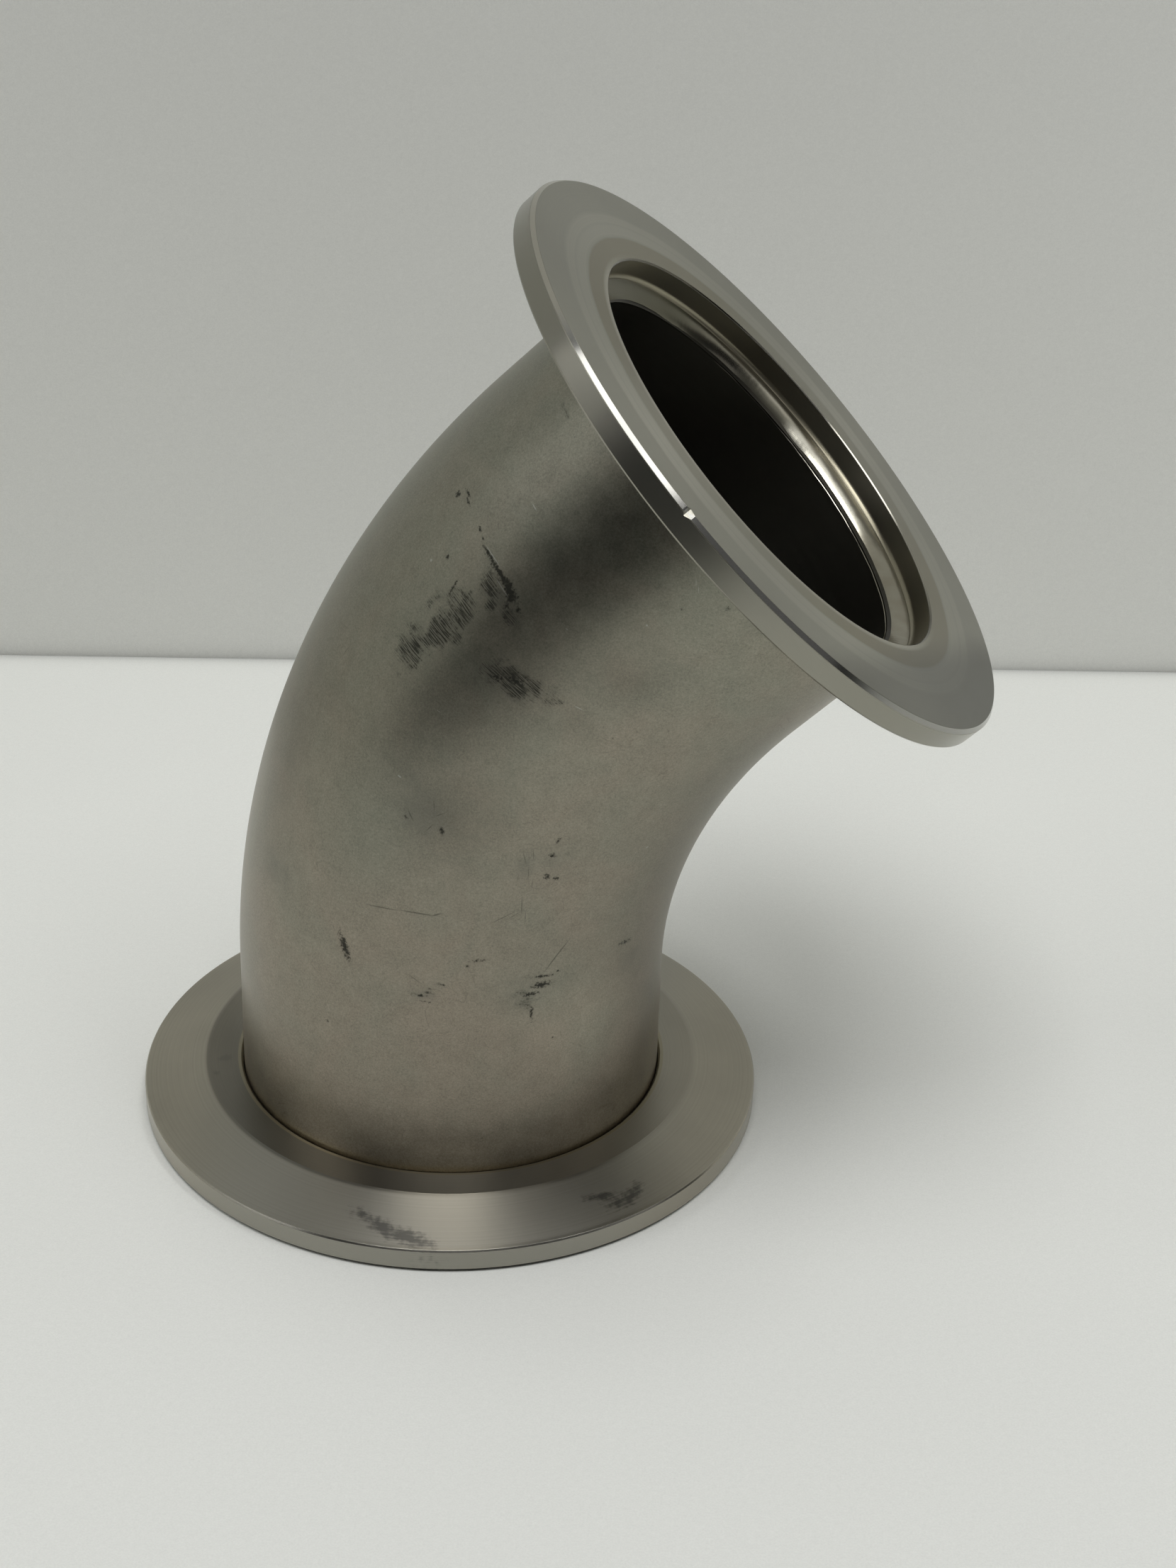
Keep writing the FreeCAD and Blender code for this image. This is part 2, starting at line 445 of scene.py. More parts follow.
def blasted_color(graph, unrolled, height_up, noises):
    """The bare steel: its warmth, its grain, its broad patches, painted shade, and painted light at its
    foot.
    """
    blotch, stain = noises["blotch"], noises["stain"]
    cooled = rubbed_on(graph, unrolled, cool_marks, -0.5, 1.0, blotch * 1.6)
    warmth = 1.15 - height_up * 11.0 + stain * 0.8 + blotch * 1.2 - cooled * 0.45
    color = graph.mix(warmth.clamped(), blast_cool, blast_warm)
    uneven = noises["grain"] + noises["mottle"] * 0.95 + blotch * 0.35 + stain * 0.15
    shade = noises["speckle"] * 1.3 + uneven + 0.5
    color = graph.mix(shade.clamped(), graph.scaled(color, 0.78), graph.scaled(color, 1.22))
    # Below: painted shade from its ellipses, the paler patches, and painted light just above the foot.
    painted_shade = rubbed_on(graph, unrolled, painted_shade_marks, -1.0, 1.0)
    paled = rubbed_on(graph, unrolled, pale_marks, -1.0, 1.0)
    painted_foot_light = height_up.rise(16 * MM, 6 * MM)
    return graph.scaled(color, 1 - painted_shade * 0.26 + paled * 0.18 + painted_foot_light * 0.24)


def hair_curls(graph, place, height_up, blotch):
    """Hair-fine curls, where a noise crosses its middle value, in some blotches of the lower part."""
    middle = (graph.noise(place, 170.0, 1.0, Distortion=1.5) - 0.5).maths("ABSOLUTE")
    return middle.rise(0.010, 0.0) * blotch.rise(0.0, 0.12) * height_up.rise(78 * MM, 55 * MM)


def marked_steel(graph, unrolled, color, curls, noises):
    """The colour with every mark on it, then the share of what is dark, and of the scratches alone."""
    ragged, patches = noises["grain"], noises["patches"]
    lines = graph.noise(stretched(graph, unrolled, 520.0, 8600.0), 1.0, 1.0).rise(0.40, 0.58)
    hatches = rubbed_on(graph, unrolled, hatched_marks, 0.0, 0.8, patches * 2.2 + ragged * 1.2)
    rubs = rubbed_on(graph, unrolled, rubbed_marks, 0.0, 0.9, ragged * 2.4)
    softs = rubbed_on(graph, unrolled, soft_marks, 0.0, 1.0, patches * 1.2)
    scratches = rubbed_on(graph, unrolled, scratch_marks, 0.0, 0.8, ragged * 0.6)
    brights = rubbed_on(graph, unrolled, bright_marks, 0.1, 0.6, ragged * 0.4)
    hatches = hatches * (0.2 + lines * 0.8)
    softs = softs * (0.6 + ragged.rise(-0.15, 0.15) * 0.4)
    dark = (rubs * 0.93).most(hatches * 0.88).most(scratches * 0.5).most(curls * 0.16)
    color = graph.mix(softs * 0.32, color, grease)
    color = graph.mix(dark, color, rubber_black)
    return graph.mix(brights * 0.6, color, bare_metal), dark, scratches


def blasted_finish():
    """The outside of the tube, with everything that has touched it."""
    graph, material = material_graph("blasted_steel")
    place = graph.node("ShaderNodeTexCoord", None, None, "Object")
    unrolled = graph.node("ShaderNodeUVMap", {"uv_map": uv_name})
    height_up = graph.part(place, "Z")
    noises = blasted_noises(graph, place)
    color = blasted_color(graph, unrolled, height_up, noises)
    curls = hair_curls(graph, place, height_up, noises["blotch"])
    color, dark, scratches = marked_steel(graph, unrolled, color, curls, noises)
    roughness = 0.34 + noises["mottle"] * 0.10 + noises["grain"] * 0.06 + dark * 0.1
    height = noises["grain"] * 0.7 + noises["speckle"] * 0.3 - scratches * 0.8
    finish_metal(graph, color, roughness, height, 0.15)
    return material


# %% [markdown]
# The bore was never blasted. It keeps the faint lines of the drawing die, and it is darker close to each
# weld.

# %% Drawn finish
def drawn_finish():
    """The bore, with lines around it and a dark root beside each bead."""
    graph, material = material_graph("drawn_bore")
    place = graph.node("ShaderNodeTexCoord", None, None, "Object")
    unrolled = graph.node("ShaderNodeUVMap", {"uv_map": uv_name})
    lines = graph.noise(stretched(graph, unrolled, 60.0, 1500.0), 1.0, 3.0)
    cloud = graph.noise(place, 110.0, 3.0)
    along = graph.part(unrolled, "Y")
    root = along.least(path_length - along).rise(4.6 * MM, 4.2 * MM)
    color = graph.mix(cloud * 0.7 + lines * 0.3, (0.28, 0.27, 0.23, 1), (0.18, 0.175, 0.15, 1))
    color = graph.mix(root, color, (0.04, 0.037, 0.03, 1))
    finish_metal(graph, color, 0.26 + lines * 0.08, lines, 0.08)
    return material


# %% [markdown]
# ## Turned steel
# The flanges keep the marks of the lathe: grooves too fine to see singly, but together they spread every
# reflection across the grooves and not along them. So the shader is anisotropic, with its broad side
# turned to the radius. Everything else on a flange follows its axis or its depth. So the finish measures
# both, and cuts rings, edges and slopes out of them with smooth steps.

# %% Places on a flange
class FlangePlace:
    """Wires that measure a flange in millimetres, from its own axis and sealing face."""

    def __init__(self, graph, upper):
        self.graph = graph
        self.place = graph.node("ShaderNodeTexCoord", None, None, "Object")
        if upper:
            sockets = {"Vector": self.place, "Location": mouth, "Rotation": (0, math.pi + bend_angle, 0)}
            self.place = graph.node("ShaderNodeMapping", {"vector_type": "TEXTURE"}, sockets)
        self.flat = graph.vector("MULTIPLY", self.place, (1 / MM, 1 / MM, 0))
        self.radius = graph.vector("LENGTH", self.flat, output="Value")
        self.depth = graph.part(self.place, "Z") / MM

    def toward(self, degrees):
        """Distance from the axis, measured towards a turn."""
        heading = (math.cos(math.radians(degrees)), math.sin(math.radians(degrees)), 0)
        return self.graph.vector("DOT_PRODUCT", self.flat, heading, output="Value")

    def on_face(self):
        """1 on the sealing face."""
        return self.depth.rise(0.06, 0.01)

    def on_land(self):
        """1 on the flat land around the tube."""
        return self.depth.rise(4.85, 4.95)


# %% [markdown]
# The sealing face has a brownish ring beside the recess, then a paler one. Painted light brightens the
# face towards turns 275 and 60, the face is darker towards turn 210, and the land round the tube has dirt
# and painted shade. The recess wall and the mouth edge get painted shade, and painted highlights run along
# the mouth, the rear edge and the far chamfer. The sides of the lower flange have tarnished, and painted
# light makes its left a little brighter.

# %% Turned finish
tarnish = (0.380, 0.352, 0.292, 1)
ring_brown = (0.245, 0.221, 0.148, 1)
ring_pale = (0.410, 0.400, 0.343, 1)
line_grey = (0.27, 0.26, 0.235, 1)
groove_grey = (0.24, 0.235, 0.205, 1)
# Below, the recess brown and the dark of the mouth edge are painted shade, and the bright edge tone is a
# painted highlight.
recess_shade_brown = (0.29, 0.265, 0.195, 1)
chamfer_grey = (0.335, 0.332, 0.315, 1)
mouth_edge_shade = (0.10, 0.09, 0.07, 1)
painted_highlight_grey = (0.48, 0.46, 0.40, 1)
scuff_ink = (0.06, 0.06, 0.06, 1)
stain_ink = (0.16, 0.15, 0.13, 1)


def tarnished_and_lit_sides(graph, at, cloud, color):
    """The colour with blotchy warm sides, and painted light that makes the left a little brighter."""
    sides = at.toward(0).maths("ABSOLUTE").rise(18, 33)
    color = graph.mix(sides, color, tarnish)
    # Painted light: the left side is a little brighter.
    return graph.scaled(color, 1 + at.toward(180).rise(18, 32) * 0.08 + cloud * sides * 0.5)


def ringed_face(graph, at, cloud, color):
    """The colour with the rings of the sealing face, and the share of the pale ring."""
    wavy = at.radius + cloud * 0.8
    inner = wavy.rise(29.4, 28.9) * at.on_face()
    middle = wavy.rise(29.0, 29.7) * wavy.rise(32.9, 32.2) * at.on_face()
    line = (at.radius - 31.1).maths("ABSOLUTE").rise(0.3, 0.05) * at.on_face()
    browned = at.toward(20).maths("ABSOLUTE").rise(8, 22)
    color = graph.mix(inner * (0.35 + browned * 0.65), color, ring_brown)
    color = graph.mix(middle, color, ring_pale)
    return graph.mix(line * 0.2, color, line_grey), middle


def lit_and_darkened(graph, at, color):
    """The colour with painted light on parts of the face, darker towards turn 210, and dirt and painted
    shade on the land.
    """
    # Painted light on the face towards turns 275 and 60.
    face_painted_light = at.toward(275).rise(12, 28) * 0.17 + at.toward(60).rise(10, 25) * 0.07
    darker_side = at.toward(210).rise(24.5, 30) * 0.46
    # Dirt and painted shade on the land round the tube.
    land_dirt_and_shade = at.toward(215).rise(10, 24) * 0.35 + 0.12
    return graph.scaled(color, 1 + (face_painted_light - 0.10 - darker_side) * at.on_face() - land_dirt_and_shade * at.on_land())


def turned_edges(graph, at, color):
    """The colour with painted shade in the recess and on the mouth edge, painted highlights on edges, and
    how much smoother the edges are.
    """
    # The recess wall gets painted shade, tinted brown, with less of it where it faces turn 135.
    inside = at.radius.rise(26.2, 26.12) * at.depth.rise(0.15, 0.3)
    glow = at.toward(135).rise(18, 25) * at.depth.rise(2.4, 2.2)
    color = graph.mix(inside * (0.9 - glow * 0.3), color, recess_shade_brown)
    chamfer = at.radius.rise(37.06, 37.1) * at.depth.rise(0.44, 0.4)
    color = graph.mix(chamfer * 0.8, color, chamfer_grey)
    # The mouth edge gets painted shade, and a painted highlight where it glints towards turn 125.
    mouth_edge = at.radius.rise(26.34, 26.26) * at.depth.rise(0.22, 0.14)
    glinting = at.toward(125).rise(14, 22)
    color = graph.mix(mouth_edge * (1 - glinting) * 0.8, color, mouth_edge_shade)
    # Painted highlights beside the mouth, along the rear edge and on the far part of the outer chamfer.
    mouth_highlight = at.radius.rise(27.1, 26.5) * at.on_face() * at.toward(285).rise(-6, 12)
    rear_edge_highlight = at.radius.rise(37.2, 37.3) * at.depth.rise(2.7, 2.8)
    far_chamfer_highlight = chamfer * at.toward(0).rise(28, 32)
    painted_highlights = (mouth_edge * glinting * 0.4).most(mouth_highlight * 0.7).most(rear_edge_highlight * 0.15).most(far_chamfer_highlight)
    return graph.mix(painted_highlights, color, painted_highlight_grey), chamfer * 0.13 + mouth_edge * 0.12


def turned_finish(name, metal, upper=False, tarnished_and_lit=False, scuffs=(), stains=()):
    """The finish for a flange, with its own scuffs and stains."""
    graph, material = material_graph(name)
    at = FlangePlace(graph, upper)
    groove_place = {"W": (at.radius + at.depth * 1.3) * 7.0, "Scale": 1.0, "Detail": 3.0}
    grooves = graph.node("ShaderNodeTexNoise", {"noise_dimensions": "1D"}, groove_place, 0)
    cloud = graph.noise(at.place, 75.0, 4.0) - 0.5
    ragged = (graph.noise(at.place, 1500.0, 2.0) - 0.5) * 1.6 + (grooves - 0.5) * 0.8
    color = graph.scaled(metal, 0.97 - cloud * 0.06)
    if tarnished_and_lit:
        color = tarnished_and_lit_sides(graph, at, cloud, color)
    color, middle = ringed_face(graph, at, cloud, color)
    color = graph.mix((grooves - 0.5) * 0.4 + 0.12, color, groove_grey)
    color, smoothed = turned_edges(graph, at, lit_and_darkened(graph, at, color))
    for marks, ink in ((scuffs, scuff_ink), (stains, stain_ink)):
        if marks:
            cover = (reach_of(graph, at.flat, on_flange(marks)) + ragged).rise(-0.1, 0.9)
            color = graph.mix(cover * 0.7, color, ink)
    rim = at.radius.rise(37.3, 37.4) * at.depth.rise(0.5, 0.6)
    slope = at.depth.rise(3.0, 3.1) - at.on_land()
    roughness = 0.30 + cloud * 0.08 + middle * 0.03 - smoothed - rim * 0.05 + slope * 0.06
    brushed = {"Anisotropic": 0.7, "Anisotropic Rotation": 0.25}
    finish_metal(graph, color, roughness, grooves * (1 - rim), 0.045, 0.01 * MM, **brushed)
    return material


# %% [markdown]
# ## Weld metal
# Fused metal freezes bright, with a straw tint in places. The bead's colour also goes by zones around
# the joint: the dark zones are painted shade, and a pale cream zone is a painted highlight. A zone may
# cover the whole bead or only the half towards the bore or towards the flange.

# %% Weld finish
weld_clean = (0.37, 0.35, 0.285, 1)
weld_straw = (0.31, 0.285, 0.225, 1)
# (turn, its half width at the edge and where it is full in degrees, on the inner half or not, tint)
# The dark tints are painted shade, and the pale cream one at 121 degrees is a painted highlight.
painted_weld_zones = [
    (25, 50, 25, None, (0.155, 0.148, 0.112, 1)),
    (94, 15, 8, True, (0.15, 0.143, 0.11, 1)),
    (121, 21.5, 11, True, (0.62, 0.60, 0.51, 1)),
    (130, 20, 10, False, (0.18, 0.17, 0.135, 1)),
]


def weld_finish(name, turned_by, upper=False):
    """The finish for a bead, with its zones of painted shade and painted highlight turned about the axis
    by some degrees.
    """
    graph, material = material_graph(name)
    at = FlangePlace(graph, upper)
    cloud = graph.noise(at.place, 420.0, 4.0) - 0.5
    fine = graph.noise(at.place, 2200.0, 3.0) - 0.5
    inner_half = (at.radius + cloud * 0.6).rise(25.2, 24.7)
    color = graph.mix(cloud.rise(-0.2, 0.25), weld_clean, weld_straw)
    roughness = 0.18 + cloud * 0.08
    for turn, edge, full, on_inner, painted_tone in painted_weld_zones:
        facing = at.toward(turn + turned_by) / at.radius
        share = facing.rise(math.cos(math.radians(edge)), math.cos(math.radians(full)))
        if on_inner is not None:
            share = share * (inner_half if on_inner else 1 - inner_half)
        color = graph.mix(share, color, painted_tone)
        roughness = roughness + share * 0.07
    finish_metal(graph, color, roughness, cloud * 0.7 + fine * 0.3, 0.04, 0.03 * MM)
    return material


# %% Make the finishes
lower_scuffs = [
    (-90.0, 35.8, 1.1, 3.4, -15, 1.2), (-94.5, 34.9, 1.1, 2.4, -25, 1.1),
    (-99.0, 33.7, 1.3, 2.8, -20, 0.75), (-51.0, 33.7, 0.7, 2.9, -15, 1.0),
    (-45.5, 34.9, 0.9, 2.4, 25, 1.1), (-48.5, 35.2, 1.4, 3.2, 0, 0.75),
]
lower_stains = [(-167, 27.6, 0.95, 0.7, 10, 1.2), (-161, 29.0, 0.4, 0.5, 0, 1.1)]
# The lower flange's steel is about a tenth brighter than the upper one's: painted light.
lit_lower_steel = (0.362, 0.350, 0.307)
upper_steel = (0.331, 0.322, 0.272)
blasted = blasted_finish()
bore_finish = drawn_finish()
turned_lower = turned_finish("turned_steel_lower", lit_lower_steel, False, True, lower_scuffs, lower_stains)
turned_upper = turned_finish("turned_steel_upper", upper_steel, True)
weld_lower = weld_finish("weld_steel_lower", -65)
weld_upper = weld_finish("weld_steel_upper", 0, True)
for finish in (blasted, bore_finish, turned_lower, turned_upper, weld_lower, weld_upper):
    print(finish.name, len(finish.node_tree.nodes), "nodes")

# %% [markdown]
# ## The bent tube
# The real tube is drawn straight, cut, and bent cold over a former, so every section is the same circle
# carried along a leg, an arc and a leg. That is a rule, so a tree of nodes can follow it: a flat grid is
# rolled up and laid along the path by a formula. Four strips close the wall: outside, the bevel under
# the upper weld, the bore, and the bevel under the lower weld. A UV map keeps each face's distance around
# and along the tube in metres, which is what the marks and the hatching above are placed on.

# %% Grow the tube
ledge = 0.3 * MM
recess_depth = 2.8 * MM
bevel_depth = 1.5 * MM
bevel_rows = 3
bevel_top_r = recess_r - ledge


def bevel_height(radius):
    """Distance of the weld bevel from a sealing face, at a radius."""
    return recess_depth + bevel_depth * (bevel_top_r - radius) / (bevel_top_r - bore_r)


def tube_strip(graph, sizes, start, end, rows, finish):
    """A strip round the path between two (distance along, radius) rings."""
    grid, share, turn = unit_grid(graph, rows, sizes["Columns"])
    along = start[0] + (end[0] - start[0]) * share
    radius = start[1] + (end[1] - start[1]) * share
    bent = ((along - sizes["Lower leg"]) / sizes["Bend radius"]).most(0.0).least(sizes["Bend angle"])
    past = (along - sizes["Lower leg"] - sizes["Bend radius"] * sizes["Bend angle"]).most(0.0)
    lean = bent.maths("SINE")
    upright = bent.maths("COSINE")
    out = radius * turn.maths("COSINE")
    x = sizes["Bend radius"] * (1 - upright) + past * lean + out * upright
    z = along.least(sizes["Lower leg"]) + sizes["Bend radius"] * lean + past * upright - out * lean
    place = graph.combine(x, radius * turn.maths("SINE"), z)
    unrolled = graph.combine(turn * tube_r, along, 0.0)
    settings = {"data_type": "FLOAT2", "domain": "CORNER"}
    sockets = {"Geometry": grid, "Name": uv_name, "Value": unrolled}
    mapped = graph.node("GeometryNodeStoreNamedAttribute", settings, sockets)
    return laid(graph, mapped, place, finish)


def grow_tube():
    """The whole tube, with the bore and the bevels in their own finish."""
    inputs = {
        "Lower leg": lower_leg, "Bend radius": bend_radius, "Bend angle": bend_angle,
        "Outer radius": tube_r, "Bore radius": bore_r, "Path length": path_length,
        "Outer end": bevel_height(tube_r), "Bore end": bevel_height(bore_r),
        "Columns": 241, "Outer rows": 121, "Bore rows": 61,
    }
    graph, sizes = geometry_graph("bent_tube", inputs)
    rings = [
        (sizes["Outer end"], sizes["Outer radius"]),
        (sizes["Path length"] - sizes["Outer end"], sizes["Outer radius"]),
        (sizes["Path length"] - sizes["Bore end"], sizes["Bore radius"]),
        (sizes["Bore end"], sizes["Bore radius"]),
    ]
    rows = [sizes["Outer rows"], bevel_rows, sizes["Bore rows"], bevel_rows]
    finishes = [blasted, bore_finish, bore_finish, bore_finish]
    strips = []
    for place, finish in enumerate(finishes):
        ends = rings[place], rings[(place + 1) % 4]
        strips.append(tube_strip(graph, sizes, *ends, rows[place], finish))
    return grown("tube", graph, joined(graph, strips, 0.01 * MM), inputs)


tube = grow_tube()

# %% [markdown]
# ## The turned flanges
# A flange is cut from bar on a lathe: the tool follows one outline while the bar spins. The mesh is made
# the same way, from an outline of radius and height that is turned about Z. Real corners are never
# sharp, so each corner of the outline gets a tiny round, which is what catches the light. A point more
# on either side of the round keeps the flat faces between the rounds flat to the light.

# %% Turn the flanges
edge_round = 0.06 * MM
rim_width = 2.9 * MM
clamp_slope = math.tan(math.radians(15))
face_chamfer = 0.45 * MM
rear_chamfer = 0.15 * MM
recess_chamfer = 0.15 * MM
recess_fillet = 0.65 * MM
socket_gap = 0.12 * MM
socket_chamfer = 0.25 * MM
rings_round = 360


def flange_outline():
    """Corners of the flange's section as (radius, height), anticlockwise from the recess mouth."""
    rear_r = rim_r - rear_chamfer
    rear_z = rim_width + rear_chamfer * clamp_slope
    land_r = rear_r - (flange_thickness - rear_z) / clamp_slope
    socket_r = tube_r + socket_gap
    fillet = Vector((recess_r - recess_fillet, recess_depth - recess_fillet))
    widest = math.acos((bevel_top_r - fillet.x) / recess_fillet)
    turns = [widest * (1 - step / 6) for step in range(7)]
    recess_corner = [fillet + Vector((math.cos(turn), math.sin(turn))) * recess_fillet for turn in turns]
    return [Vector(corner) for corner in (
        (recess_r + recess_chamfer, 0),
        (rim_r - face_chamfer, 0),
        (rim_r, face_chamfer),
        (rim_r, rim_width - rear_chamfer),
        (rear_r, rear_z),
        (land_r, flange_thickness),
        (socket_r + socket_chamfer, flange_thickness),
        (socket_r, flange_thickness - socket_chamfer),
        (socket_r, bevel_height(socket_r)),
        (bevel_top_r, recess_depth),
        *recess_corner,
        (recess_r, recess_chamfer),
    )]


def rounded(corners, radius, steps=3):
    """The closed outline with each corner replaced by a small arc, and a point on either side of it."""
    outline = []
    for place, corner in enumerate(corners):
        back = corners[place - 1] - corner
        ahead = corners[(place + 1) % len(corners)] - corner
        half = back.angle(ahead) / 2
        # Neither the arc nor its points may pass the middle of a short side.
        reach = min(radius / math.tan(half), 0.4 * back.length, 0.4 * ahead.length)
        before = corner + back.normalized() * min(reach + 0.3 * radius, 0.48 * back.length)
        after = corner + ahead.normalized() * min(reach + 0.3 * radius, 0.48 * ahead.length)
        back, ahead = back.normalized(), ahead.normalized()
        centre = corner + (back + ahead).normalized() * reach / math.cos(half)
        first, last = corner + back * reach - centre, corner + ahead * reach - centre
        outline.append(before)
        for step in range(steps + 1):
            share = step / steps
            outline.append(centre + first.lerp(last, share).normalized() * first.length)
        outline.append(after)
    return outline


def divided(outline, longest, middle, window):
    """The outline with extra points within a window around a place, none further apart than a size."""
    finer = []
    for place, point in enumerate(outline):
        ahead = outline[(place + 1) % len(outline)]
        cuts = [0.0]
        count = max(1, math.ceil((ahead - point).length / longest))
        for cut in range(1, count):
            if (point.lerp(ahead, cut / count) - middle).length < window:
                cuts.append(cut / count)
        finer += [point.lerp(ahead, cut) for cut in cuts]
    return finer


def turned_mesh(name, outline, turns):
    """A closed ring mesh: the outline repeated at each turn about Z."""
    vertices = [(p.x * math.cos(turn), p.x * math.sin(turn), p.y) for turn in turns for p in outline]
    size = len(outline)
    faces = []
    for ring in range(len(turns)):
        this, following = ring * size, (ring + 1) % len(turns) * size
        for place in range(size):
            ahead = (place + 1) % size
            faces.append((this + place, following + place, following + ahead, this + ahead))
    mesh = bpy.data.meshes.new(name)
    mesh.from_pydata(vertices, [], faces)
    mesh.validate()
    return mesh


# %% [markdown]
# The upper flange has been knocked: something sharp left a small notch across its outer chamfer. The
# mesh is made finer there, and what stands out of a shallow V is pushed back into it. One wall of the V
# is short and steep and stays dark, the long one catches the light.

# %% Turn both flanges and knock the upper one
nick_turn = math.radians(286.2)
nick_depth = 0.24 * MM
steep_wall = 0.38 * MM
long_wall = 0.75 * MM
nick_reach = 2.0 * MM
nick_steps = 28
nick_window = 1.4 * MM
nick_points_apart = 0.07 * MM


def knock(mesh):
    """Pushes every vertex that stands out of the V back to its walls."""
    for vertex in mesh.vertices:
        radius = vertex.co.xy.length
        along = (math.atan2(vertex.co.y, vertex.co.x) % math.tau - nick_turn) * rim_r
        share = 1 - (along / steep_wall if along > 0 else -along / long_wall)
        stands_out = (radius - vertex.co.z - rim_r + face_chamfer) / math.sqrt(2)
        cut = stands_out + nick_depth * share
        if share > 0 and cut > 0:
            sideways = vertex.co.xy.normalized() * cut / math.sqrt(2)
            vertex.co -= Vector((sideways.x, sideways.y, -cut / math.sqrt(2)))


def make_flange(name, knocked):
    """A flange at the lower end, or knocked and carried to the upper end."""
    outline = rounded(flange_outline(), edge_round)
    turns = [math.tau * ring / rings_round for ring in range(rings_round)]
    if knocked:
        outline = divided(outline, nick_points_apart, Vector((rim_r, 0)), nick_window)
        window = nick_reach / rim_r
        turns = [turn for turn in turns if abs(turn - nick_turn) > window]
        steps = range(-nick_steps, nick_steps + 1)
        turns += [nick_turn + window * step / nick_steps for step in steps]
        turns.sort()
    mesh = turned_mesh(name, outline, turns)
    if knocked:
        knock(mesh)
        mesh.transform(at_mouth)
    mesh.materials.append(turned_upper if knocked else turned_lower)
    return shown(name, mesh, 40.0)


lower_flange = make_flange("flange_lower", knocked=False)
upper_flange = make_flange("flange_upper", knocked=True)

# %% [markdown]
# ## The weld beads
# Each tube end is fused to its flange from inside, in one run round the joint. The molten pool freezes in
# ripples, and the run ends with a small swelling where it overlaps its start. The tree lays a strip
# round the joint, bowed by a curve with one control point, and lifts it by the sum of a ripple, a slow
# drift and that swelling. At one turn the bead is narrower and shows more of the tube's end.

# %% Grow the weld beads
underside_rows = 5


def bump_at(turn, middle, width):
    """1 at a turn, falling off to both sides in a bell."""
    gap = (turn - middle) / width
    return (gap * gap * -1.0).maths("EXPONENT")


def bead_strip(graph, sizes, finish, crown):
    """A curved strip from the bead's toe to its root: its rippled crown or its hidden underside."""
    grid, across, turn = unit_grid(graph, sizes["Rows"] if crown else underside_rows, sizes["Columns"])
    share = across if crown else 1 - across
    ring = graph.combine(turn.maths("COSINE"), turn.maths("SINE"), 0.0)
    drift = graph.noise(graph.scaled(ring, 4.0), 2.0, 3.0, W=sizes["Seed"]) - 0.5
    narrow = bump_at(turn, sizes["Narrow turn"], 0.5)
    root_r = sizes["Root radius"] + narrow * sizes["Narrowing"]
    root_z = sizes["Root height"] - narrow * sizes["Narrowing"] * 1.9 + drift * sizes["Drift"] * 2.0
    control_r = sizes["Crown radius"] if crown else (sizes["Toe radius"] + 0.2 * MM)
    control_z = sizes["Crown height"] if crown else (sizes["Root height"] + 0.2 * MM)
    left, both, right = (1 - share) * (1 - share), share * (1 - share) * 2, share * share
    radius = left * sizes["Toe radius"] + both * control_r + right * root_r
    height = left * sizes["Toe height"] + both * control_z + right * root_z
    if crown:
        bow = (share * 2 - 1) ** 2.0
        wave = ((turn / math.tau * sizes["Ripples"] - bow * 0.8) * math.tau).maths("SINE")
        swell = bump_at(turn, sizes["Overlap turn"], 0.07)
        lift = wave * sizes["Ripple lift"] + drift * sizes["Drift"] + swell * sizes["Overlap lift"]
        lift = both * lift
        radius = radius - lift
        height = height - lift
    place = graph.combine(radius * turn.maths("COSINE"), radius * turn.maths("SINE"), height)
    return laid(graph, grid, place, finish)


def grow_bead(name, finish, seed, start_turn, placed=None):
    """One bead: a rippled crown, closed underneath by a plain strip hidden in the joint."""
    inputs = {
        "Toe radius": bevel_top_r, "Toe height": recess_depth,
        "Crown radius": 24.52 * MM, "Crown height": 3.4 * MM,
        "Root radius": bore_r - 0.05 * MM, "Root height": bevel_height(bore_r) + 0.25 * MM,
        "Ripples": 230.0, "Ripple lift": 0.0015 * MM, "Drift": 0.10 * MM,
        "Overlap turn": start_turn, "Overlap lift": 0.12 * MM,
        "Narrow turn": 0.6, "Narrowing": 0.28 * MM,
        "Seed": seed, "Columns": 1361, "Rows": 15,
    }
    graph, sizes = geometry_graph(name + "_tree", inputs)
    strips = [bead_strip(graph, sizes, finish, crown) for crown in (True, False)]
    bead = grown(name, graph, joined(graph, strips, 0.002 * MM), inputs)
    if placed:
        bead.data.transform(placed)
    return bead


lower_bead = grow_bead("bead_lower", weld_lower, 3, 2.0)
upper_bead = grow_bead("bead_upper", weld_upper, 7, 1.87, at_mouth)

# %% [markdown]
# ## Riding on the frame
# Each piece stands for one solid and moves with the one body that a rigid part has.

# %% Tie the pieces to the frame
dressed = {
    "elbow_tube": (tube, "blasted_tube"),
    "lower_flange": (lower_flange, "turned_flange"),
    "upper_flange": (upper_flange, "turned_flange"),
    "lower_weld_bead": (lower_bead, "weld_bead"),
    "upper_weld_bead": (upper_bead, "weld_bead"),
}
for node, (piece, slot) in dressed.items():
    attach(piece, "root")
    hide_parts(node)

# %% [markdown]
# ## Floor and walls
# The elbow stands on a pale table, close in front of a pale wall, and a second wall stands outside the
# picture to the left. They matter to the metal, which shows little but what it reflects. The paper has
# painted shade towards the fold where floor and wall meet, and the wall has painted light that makes it
# lighter upwards and to the right. The walls are one-sided: from behind they let the camera see through.

